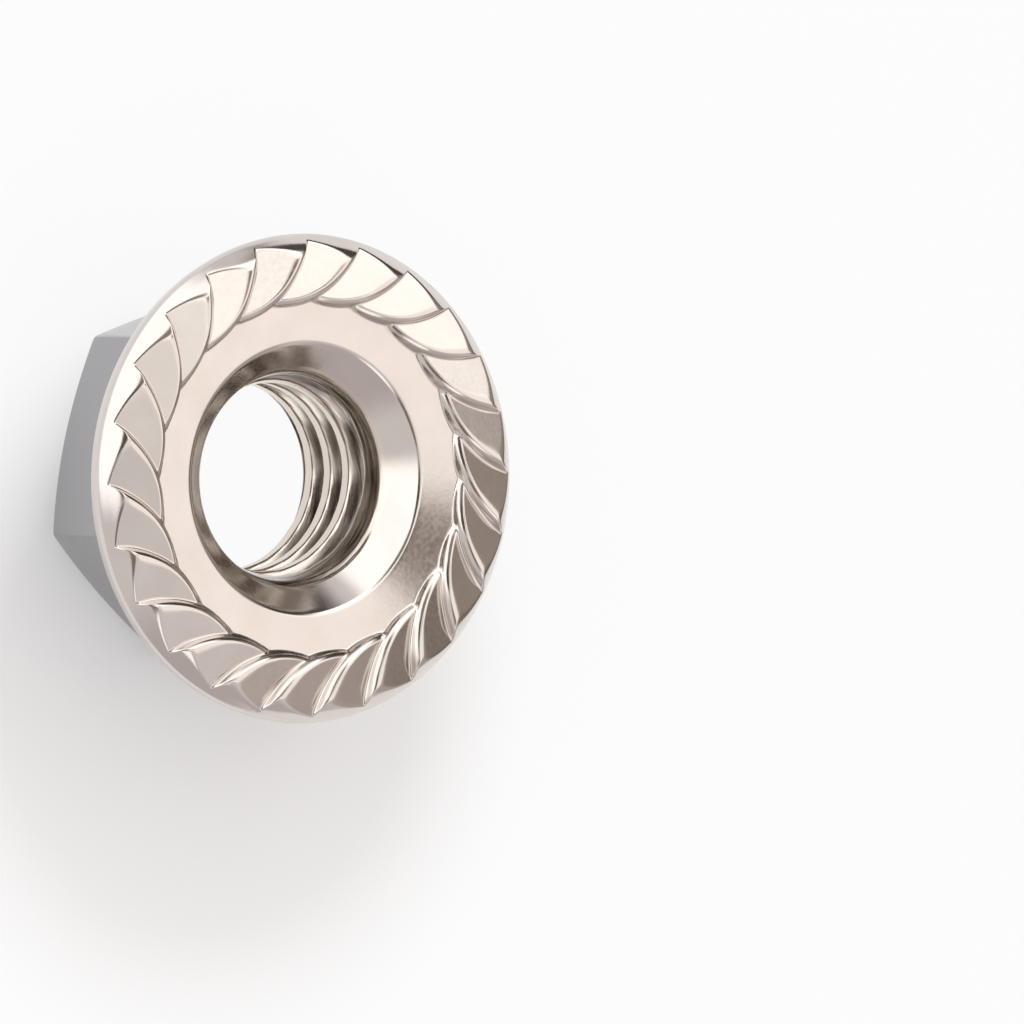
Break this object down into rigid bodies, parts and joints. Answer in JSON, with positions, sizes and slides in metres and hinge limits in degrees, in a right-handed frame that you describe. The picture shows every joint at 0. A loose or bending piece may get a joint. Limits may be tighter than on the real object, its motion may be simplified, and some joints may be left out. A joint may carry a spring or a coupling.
{
  "type": "serrated flange nut",
  "caption": "Hexagon nut with a wide round flange whose face carries curved, ramped serrations around a dished ring, and a threaded hole countersunk on each side.",
  "frame": {"origin": "centre of the hex end face, which the nut rests on", "axes": "+Z along the thread axis from the hex end to the serrated face; one hexagon corner and one serration wall's rim end lie on +X"},
  "size_m": [0.0178, 0.0178, 0.008],
  "materials": {
    "nut": "tumbled and polished stainless steel"
  },
  "bodies": {
    "root": {"nut": "nut"}
  },
  "joints": []
}
